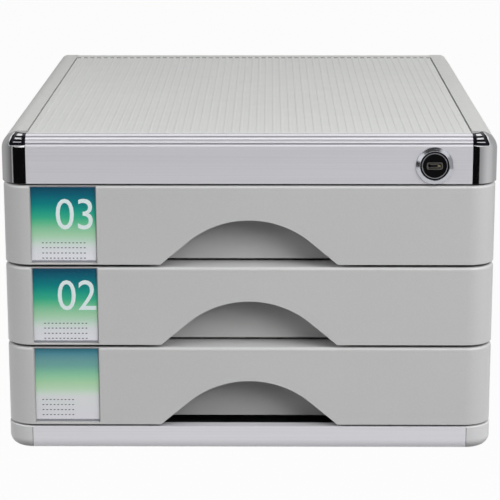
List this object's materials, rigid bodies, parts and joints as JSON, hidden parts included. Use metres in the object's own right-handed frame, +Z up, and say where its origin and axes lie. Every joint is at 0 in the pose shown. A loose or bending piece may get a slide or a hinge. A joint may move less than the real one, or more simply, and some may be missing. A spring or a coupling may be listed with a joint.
{
  "type": "desktop file drawer",
  "caption": "Low desktop cabinet of sliding drawers with arched finger cut-outs and label windows, under a ribbed top in a grooved metal rail with a key lock.",
  "frame": {"origin": "on the ground below the middle of the cabinet's outer box", "axes": "+X to the right as seen from the front, +Y from the front to the back, +Z up"},
  "size_m": [0.3, 0.3516, 0.1986],
  "materials": {
    "rail_aluminium": "fine lengthwise brushing, clear anodised",
    "cap_chrome": "bright plating",
    "drawer_silver": "silver moulded plastic with a very fine grain",
    "frame_silver": "light silver moulded plastic, satin",
    "base_silver": "silver moulded plastic, satin",
    "inner_grey": "mid grey moulded plastic, fine grain",
    "back_grey": "grey moulded plastic, fine grain",
    "tray_grey": "light grey moulded plastic, satin",
    "lock_black": "black, slightly glossy",
    "lock_zinc": "bright plated zinc",
    "steel": "zinc plated steel",
    "foot_rubber": "matt black rubber",
    "card_paper": "printed card with a dark to light teal gradient",
    "cover_clear": "clear polished plastic"
  },
  "bodies": {
    "cabinet": {"base_plate": "inner_grey", "base_side_rail_right": "base_silver", "base_side_rail_left": "base_silver", "base_back_rail": "base_silver", "base_spacers": "inner_grey", "base_front_strip": "rail_aluminium", "base_corner_right": "base_silver", "base_corner_left": "base_silver", "foot_pads": "foot_rubber", "cabinet_screws": "steel", "side_panel_right": "base_silver", "side_panel_left": "base_silver", "back_panel": "back_grey", "top_front_rail": "rail_aluminium", "corner_cap_right": "cap_chrome", "corner_cap_left": "cap_chrome", "top_side_rail_right": "frame_silver", "top_side_rail_left": "frame_silver", "top_back_rail": "frame_silver", "top_panel": "frame_silver", "lock_housing": "cap_chrome", "lock_nut": "steel", "bar_guides": "steel", "bottom_runner_right": "inner_grey", "bottom_runner_left": "inner_grey", "middle_runner_right": "inner_grey", "middle_runner_left": "inner_grey", "top_runner_right": "inner_grey", "top_runner_left": "inner_grey"},
    "lock_rotor": {"lock_plug": "lock_zinc", "lock_face_disc": "lock_black", "lock_cam": "steel", "cam_screw": "steel"},
    "lock_bar": {"lock_bar": "steel", "lock_bar_arms": "steel"},
    "bottom_drawer": {"bottom_drawer_tray": "tray_grey", "bottom_drawer_slides": "inner_grey", "bottom_drawer_catch": "steel", "bottom_drawer_front": "drawer_silver", "bottom_drawer_label_card": "card_paper", "bottom_drawer_label_cover": "cover_clear", "bottom_drawer_screws": "steel", "bottom_drawer_backplate": "drawer_silver"},
    "middle_drawer": {"middle_drawer_tray": "tray_grey", "middle_drawer_slides": "inner_grey", "middle_drawer_catch": "steel", "middle_drawer_front": "drawer_silver", "middle_drawer_label_card": "card_paper", "middle_drawer_label_cover": "cover_clear", "middle_drawer_screws": "steel", "middle_drawer_backplate": "drawer_silver"},
    "top_drawer": {"top_drawer_tray": "tray_grey", "top_drawer_slides": "inner_grey", "top_drawer_catch": "steel", "top_drawer_front": "drawer_silver", "top_drawer_label_card": "card_paper", "top_drawer_label_cover": "cover_clear", "top_drawer_screws": "steel", "top_drawer_backplate": "drawer_silver"}
  },
  "joints": [
    {"name": "bottom_drawer_slide", "type": "slide", "parent": "cabinet", "child": "bottom_drawer", "axis": [0, -1, 0], "range_m": [0, 0.2497]},
    {"name": "middle_drawer_slide", "type": "slide", "parent": "cabinet", "child": "middle_drawer", "axis": [0, -1, 0], "range_m": [0, 0.2497]},
    {"name": "top_drawer_slide", "type": "slide", "parent": "cabinet", "child": "top_drawer", "axis": [0, -1, 0], "range_m": [0, 0.2497]},
    {"name": "lock_turn", "type": "hinge", "parent": "cabinet", "child": "lock_rotor", "pos_m": [0.1112, -0.16, 0.1803], "axis": [0, -1, 0], "range_deg": [0, 90]},
    {"name": "lock_bar_slide", "type": "slide", "parent": "cabinet", "child": "lock_bar", "axis": [0, 0, 1], "range_m": [0, 0.012]}
  ],
  "couplings": [
    {"joint": "lock_bar_slide", "follows": "lock_turn", "m_per_rad": 0.007639}
  ]
}
